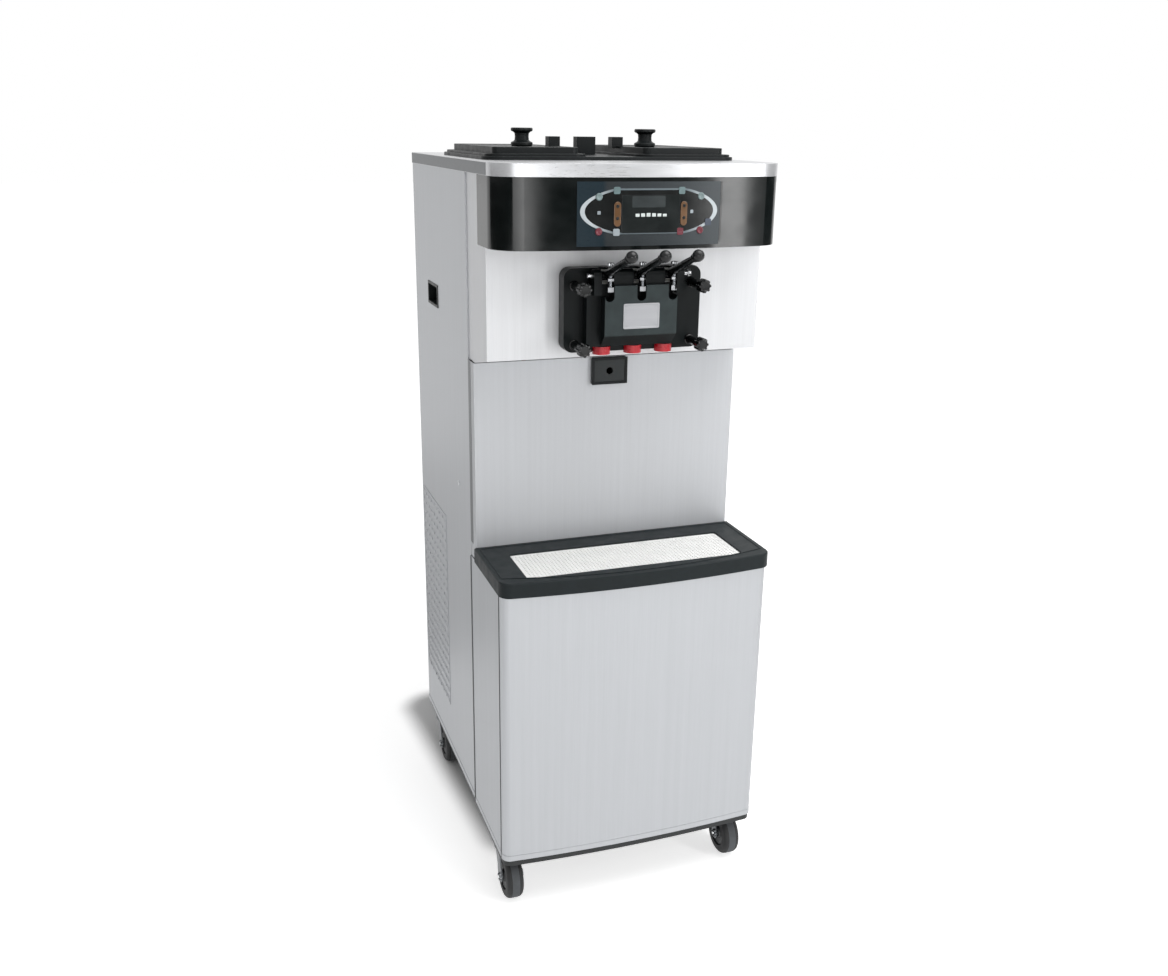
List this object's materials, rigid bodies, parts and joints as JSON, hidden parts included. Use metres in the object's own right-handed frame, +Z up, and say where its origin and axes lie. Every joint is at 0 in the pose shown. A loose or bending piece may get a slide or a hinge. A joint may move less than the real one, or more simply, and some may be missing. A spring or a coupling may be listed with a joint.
{
  "type": "soft-serve ice cream freezer",
  "caption": "Floor-standing twin-flavour soft-serve ice cream freezer on casters, with draw handles, a drip tray, hopper lids and a bowed control band.",
  "frame": {"origin": "on the floor, below the middle of the overall width and depth", "axes": "+Z up, -Y towards the person who serves, +X to that person's right"},
  "size_m": [0.572, 0.8295, 1.567],
  "materials": {
    "stainless": "satin brushed stainless sheet",
    "black_frame": "black painted steel",
    "screw_steel": "polished steel",
    "black_plastic": "black moulded plastic",
    "grey_plastic": "dark grey moulded plastic",
    "white_plastic": "white moulded plastic",
    "gloss_black": "gloss black",
    "overlay_film": "printed polyester film",
    "display_lens": "tinted display lens",
    "amber_lens": "translucent amber",
    "key_plastic": "pale key cap",
    "door_black": "black moulded, semi-gloss",
    "chrome": "chrome plated",
    "valve_plastic": "black acetal",
    "cap_red": "red moulded plastic",
    "gasket": "black rubber",
    "food_steel": "food grade stainless",
    "feed_plastic": "white plastic",
    "motor_grey": "dark painted casting",
    "condenser_aluminium": "finned aluminium",
    "fan_plastic": "black moulded plastic",
    "copper": "copper tube",
    "box_metal": "grey painted sheet",
    "caster_metal": "black painted steel",
    "caster_rubber": "black rubber tread"
  },
  "bodies": {
    "cabinet": {"left_side_panel": "stainless", "right_side_panel": "stainless", "rear_panel": "stainless", "lower_front_panel": "stainless", "lower_box_panel": "stainless", "head_shell": "stainless", "top_deck": "stainless", "chassis_frame": "black_frame", "panel_screws": "screw_steel", "pivot_pin": "screw_steel", "side_pulls": "black_plastic", "lid_spacer": "black_plastic", "control_fascia": "gloss_black", "control_overlay": "overlay_film", "display_window": "display_lens", "indicator_lamps": "amber_lens", "freezer_door": "door_black", "hand_screws": "door_black", "spout_caps": "cap_red", "door_gaskets": "gasket", "cord_gland": "gasket", "freezing_cylinders": "food_steel", "mix_hoppers": "food_steel", "feed_tubes": "feed_plastic", "gear_motors": "motor_grey", "compressor": "motor_grey", "condenser_unit": "condenser_aluminium", "refrigerant_lines": "copper", "control_box": "box_metal"},
    "handle_left": {"draw_handle_left": "door_black", "adjusting_screw_left": "chrome"},
    "valve_left": {"draw_valve_left": "valve_plastic"},
    "handle_centre": {"draw_handle_centre": "door_black", "adjusting_screw_centre": "chrome"},
    "valve_centre": {"draw_valve_centre": "valve_plastic"},
    "handle_right": {"draw_handle_right": "door_black", "adjusting_screw_right": "chrome"},
    "valve_right": {"draw_valve_right": "valve_plastic"},
    "drip_drawer": {"drip_drawer": "black_plastic"},
    "drip_tray": {"drip_tray": "grey_plastic"},
    "splash_grille": {"splash_grille": "white_plastic"},
    "left_lid": {"left_hopper_lid": "black_plastic", "left_lid_knob": "black_plastic"},
    "left_beater": {"left_beater": "food_steel"},
    "right_lid": {"right_hopper_lid": "black_plastic", "right_lid_knob": "black_plastic"},
    "right_beater": {"right_beater": "food_steel"},
    "fan": {"fan_blade": "fan_plastic"},
    "front_left_fork": {"front_left_caster_fork": "caster_metal"},
    "front_left_wheel": {"front_left_caster_wheel": "caster_rubber"},
    "front_right_fork": {"front_right_caster_fork": "caster_metal"},
    "front_right_wheel": {"front_right_caster_wheel": "caster_rubber"},
    "rear_left_fork": {"rear_left_caster_fork": "caster_metal"},
    "rear_left_wheel": {"rear_left_caster_wheel": "caster_rubber"},
    "rear_right_fork": {"rear_right_caster_fork": "caster_metal"},
    "rear_right_wheel": {"rear_right_caster_wheel": "caster_rubber"},
    "key_left_top": {"key_left_top": "key_plastic"},
    "key_left_bottom": {"key_left_bottom": "key_plastic"},
    "key_right_top": {"key_right_top": "key_plastic"},
    "key_right_bottom": {"key_right_bottom": "key_plastic"}
  },
  "joints": [
    {"name": "handle_left_pull", "type": "hinge", "parent": "cabinet", "child": "handle_left", "pos_m": [-0.063, -0.27653, 1.31], "axis": [1, 0, 0], "range_deg": [0, 40]},
    {"name": "valve_left_lift", "type": "slide", "parent": "cabinet", "child": "valve_left", "axis": [0, 0, 1], "range_m": [0, 0.0137]},
    {"name": "handle_centre_pull", "type": "hinge", "parent": "cabinet", "child": "handle_centre", "pos_m": [0, -0.27653, 1.31], "axis": [1, 0, 0], "range_deg": [0, 40]},
    {"name": "valve_centre_lift", "type": "slide", "parent": "cabinet", "child": "valve_centre", "axis": [0, 0, 1], "range_m": [0, 0.0137]},
    {"name": "handle_right_pull", "type": "hinge", "parent": "cabinet", "child": "handle_right", "pos_m": [0.063, -0.27653, 1.31], "axis": [1, 0, 0], "range_deg": [0, 40]},
    {"name": "valve_right_lift", "type": "slide", "parent": "cabinet", "child": "valve_right", "axis": [0, 0, 1], "range_m": [0, 0.0137]},
    {"name": "drawer_slide", "type": "slide", "parent": "cabinet", "child": "drip_drawer", "axis": [0, -1, 0], "range_m": [0, 0.25]},
    {"name": "tray_lift", "type": "slide", "parent": "cabinet", "child": "drip_tray", "axis": [0, 0, 1], "range_m": [0, 0.1]},
    {"name": "grille_lift", "type": "slide", "parent": "drip_tray", "child": "splash_grille", "axis": [0, 0, 1], "range_m": [0, 0.08]},
    {"name": "left_lid_lift", "type": "slide", "parent": "cabinet", "child": "left_lid", "axis": [0, 0, 1], "range_m": [0, 0.15]},
    {"name": "left_beater_spin", "type": "hinge", "parent": "cabinet", "child": "left_beater", "pos_m": [-0.082, -0.22674, 1.2435], "axis": [0, 1, 0], "continuous": true},
    {"name": "right_lid_lift", "type": "slide", "parent": "cabinet", "child": "right_lid", "axis": [0, 0, 1], "range_m": [0, 0.15]},
    {"name": "right_beater_spin", "type": "hinge", "parent": "cabinet", "child": "right_beater", "pos_m": [0.082, -0.22674, 1.2435], "axis": [0, 1, 0], "continuous": true},
    {"name": "fan_spin", "type": "hinge", "parent": "cabinet", "child": "fan", "pos_m": [-0.203, 0.19726, 0.2865], "axis": [1, 0, 0], "continuous": true},
    {"name": "front_left_swivel", "type": "hinge", "parent": "cabinet", "child": "front_left_fork", "pos_m": [-0.251, -0.23824, 0.112], "axis": [0, 0, 1], "continuous": true},
    {"name": "front_left_roll", "type": "hinge", "parent": "front_left_fork", "child": "front_left_wheel", "pos_m": [-0.251, -0.26624, 0.048], "axis": [1, 0, 0], "continuous": true},
    {"name": "front_right_swivel", "type": "hinge", "parent": "cabinet", "child": "front_right_fork", "pos_m": [0.251, -0.23824, 0.112], "axis": [0, 0, 1], "continuous": true},
    {"name": "front_right_roll", "type": "hinge", "parent": "front_right_fork", "child": "front_right_wheel", "pos_m": [0.251, -0.26624, 0.048], "axis": [1, 0, 0], "continuous": true},
    {"name": "rear_left_swivel", "type": "hinge", "parent": "cabinet", "child": "rear_left_fork", "pos_m": [-0.251, 0.33726, 0.112], "axis": [0, 0, 1], "continuous": true},
    {"name": "rear_left_roll", "type": "hinge", "parent": "rear_left_fork", "child": "rear_left_wheel", "pos_m": [-0.251, 0.30926, 0.048], "axis": [1, 0, 0], "continuous": true},
    {"name": "rear_right_swivel", "type": "hinge", "parent": "cabinet", "child": "rear_right_fork", "pos_m": [0.251, 0.33726, 0.112], "axis": [0, 0, 1], "continuous": true},
    {"name": "rear_right_roll", "type": "hinge", "parent": "rear_right_fork", "child": "rear_right_wheel", "pos_m": [0.251, 0.30926, 0.048], "axis": [1, 0, 0], "continuous": true},
    {"name": "key_left_top_press", "type": "slide", "parent": "cabinet", "child": "key_left_top", "axis": [0, 1, 0], "range_m": [0, 0.0012], "stiffness_N_per_m": 300},
    {"name": "key_left_bottom_press", "type": "slide", "parent": "cabinet", "child": "key_left_bottom", "axis": [0, 1, 0], "range_m": [0, 0.0012], "stiffness_N_per_m": 300},
    {"name": "key_right_top_press", "type": "slide", "parent": "cabinet", "child": "key_right_top", "axis": [0, 1, 0], "range_m": [0, 0.0012], "stiffness_N_per_m": 300},
    {"name": "key_right_bottom_press", "type": "slide", "parent": "cabinet", "child": "key_right_bottom", "axis": [0, 1, 0], "range_m": [0, 0.0012], "stiffness_N_per_m": 300}
  ],
  "couplings": [
    {"joint": "valve_left_lift", "follows": "handle_left_pull", "m_per_rad": 0.019596},
    {"joint": "valve_centre_lift", "follows": "handle_centre_pull", "m_per_rad": 0.019596},
    {"joint": "valve_right_lift", "follows": "handle_right_pull", "m_per_rad": 0.019596}
  ]
}
